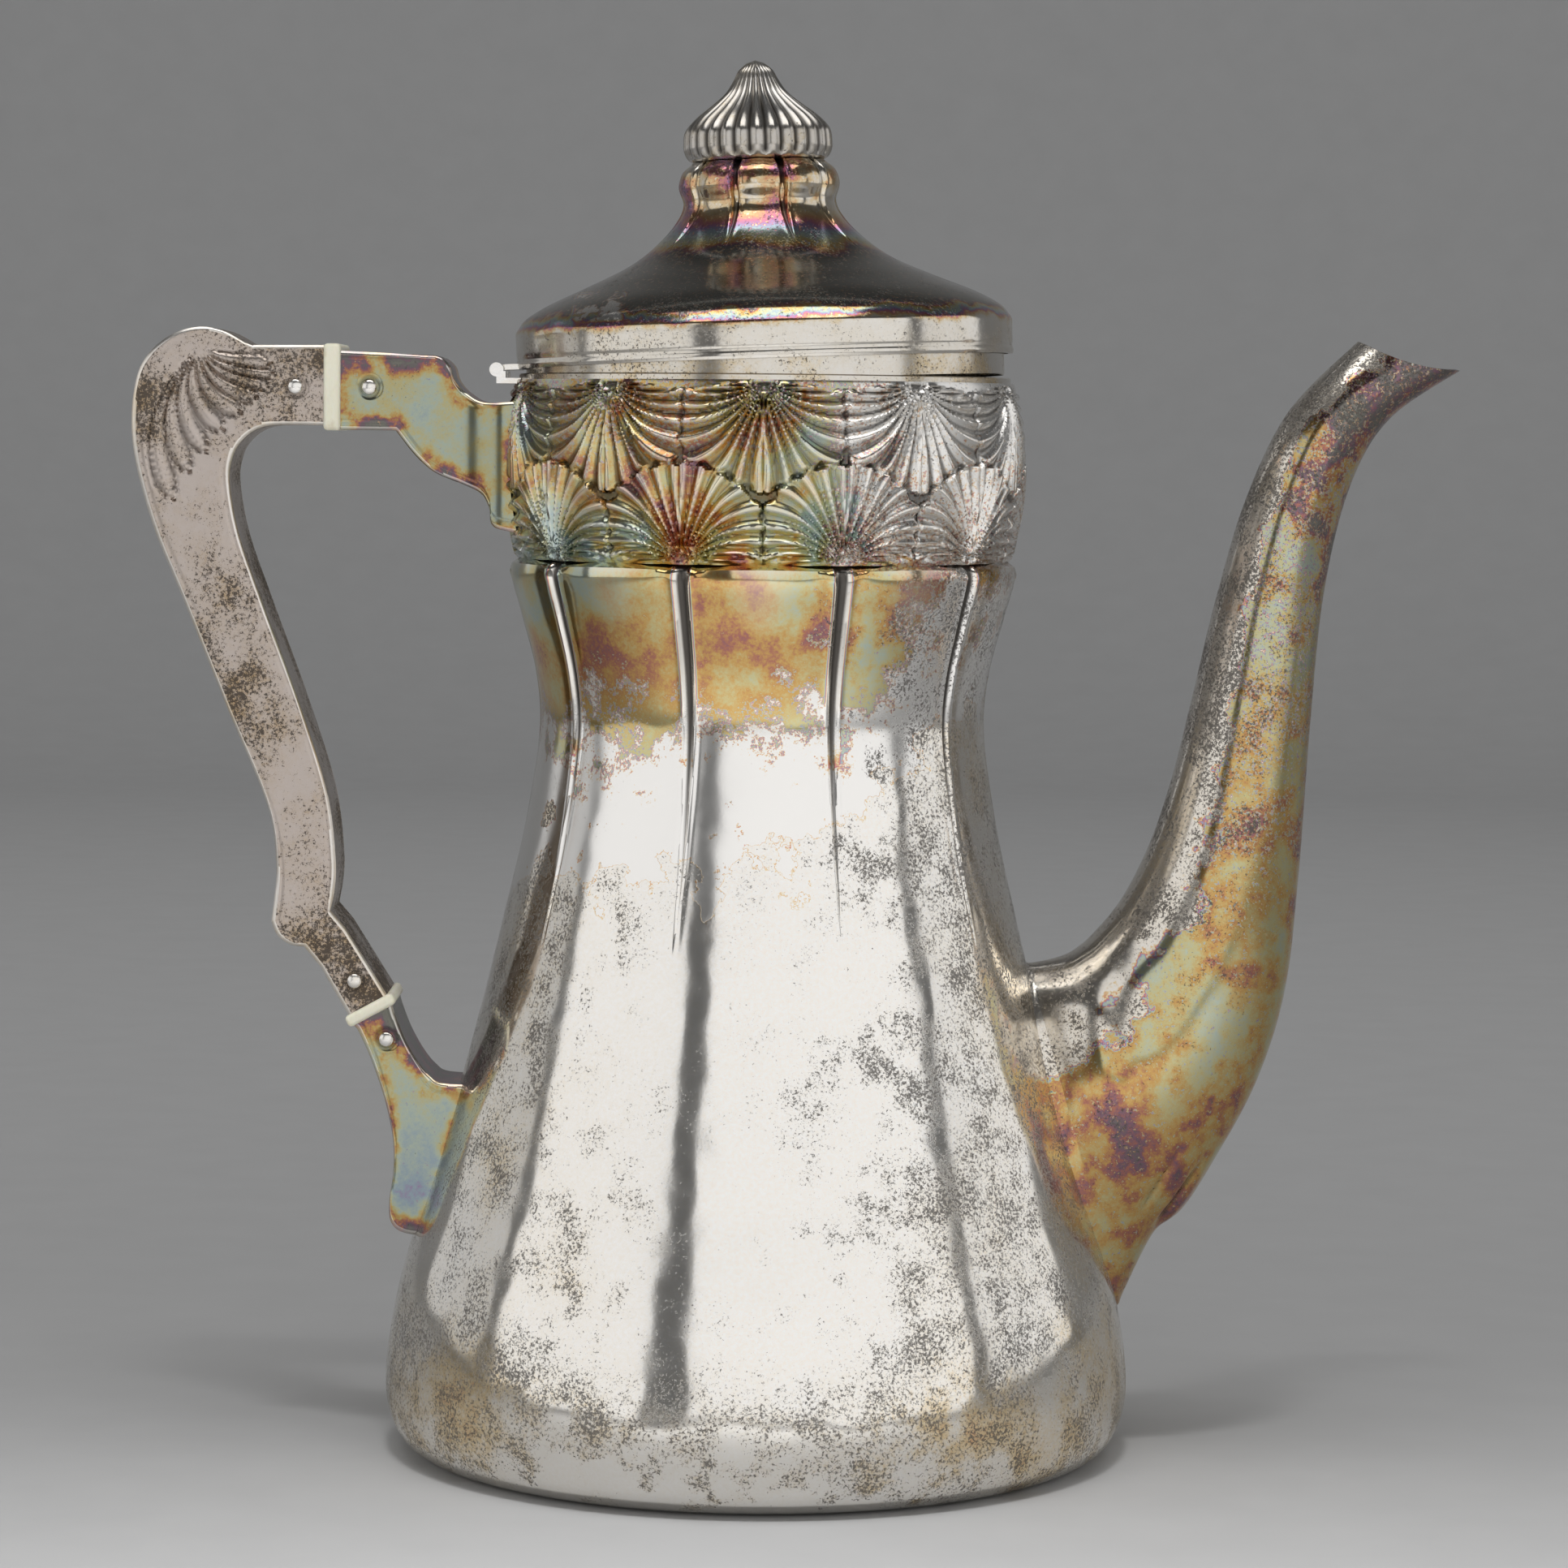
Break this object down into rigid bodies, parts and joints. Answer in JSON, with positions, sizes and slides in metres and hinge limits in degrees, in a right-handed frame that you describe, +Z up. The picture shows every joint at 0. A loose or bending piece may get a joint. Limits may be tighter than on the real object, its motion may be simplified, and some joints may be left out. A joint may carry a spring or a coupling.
{
  "type": "silver coffee pot",
  "caption": "Waisted coffee pot with a fan frieze, a hinged domed lid with a fluted finial, a tall curved spout and a hollow box handle with ivory-coloured insulators.",
  "frame": {"origin": "centre of the ring that the pot stands on", "axes": "+Z up; +X towards the spout; -X towards the handle; Y across the pot"},
  "size_m": [0.2181, 0.1236, 0.23],
  "materials": {
    "body_silver": "bright planished silver with a grey-brown speckle of tarnish",
    "frieze_silver": "chased silver with gold and green tarnish and dark recesses",
    "spout_silver": "polished silver with gold, pink and blue tarnish",
    "socket_silver": "polished silver with gold tarnish edged in violet",
    "grip_silver": "worn silver with a dense grey speckle and bright edges",
    "insulator": "polished ivory-coloured material",
    "pin_silver": "domed rivet heads, darkened round the edge",
    "hinge_silver": "plain silver, darkened",
    "lid_silver": "polished silver with a grey-brown tarnish and a pink and blue bloom at the shoulder",
    "finial_silver": "cast and chased silver with darkened flutes"
  },
  "bodies": {
    "pot": {"body_shell": "body_silver", "base_disc": "body_silver", "neck_frieze": "frieze_silver", "mouth_rim": "body_silver", "spout": "spout_silver", "upper_socket_front_plate": "socket_silver", "upper_socket_back_plate": "socket_silver", "upper_socket_top_strip": "socket_silver", "upper_socket_bottom_strip": "socket_silver", "lower_socket_front_plate": "socket_silver", "lower_socket_back_plate": "socket_silver", "lower_socket_outer_strip": "socket_silver", "lower_socket_inner_strip": "socket_silver", "grip_front_plate": "grip_silver", "grip_back_plate": "grip_silver", "grip_outer_strip": "grip_silver", "grip_inner_strip": "grip_silver", "upper_insulator": "insulator", "lower_insulator": "insulator", "upper_handle_pins": "pin_silver", "lower_handle_pins": "pin_silver", "hinge_body_leaf": "hinge_silver", "hinge_pin": "pin_silver"},
    "lid": {"hinge_lid_leaf": "hinge_silver", "lid_shell": "lid_silver", "lid_bezel": "body_silver", "finial": "finial_silver", "finial_nut": "pin_silver"}
  },
  "joints": [
    {"name": "lid_hinge", "type": "hinge", "parent": "pot", "child": "lid", "pos_m": [-0.0439, 0, 0.1789], "axis": [0, -1, 0], "range_deg": [-2.4, 95]}
  ]
}
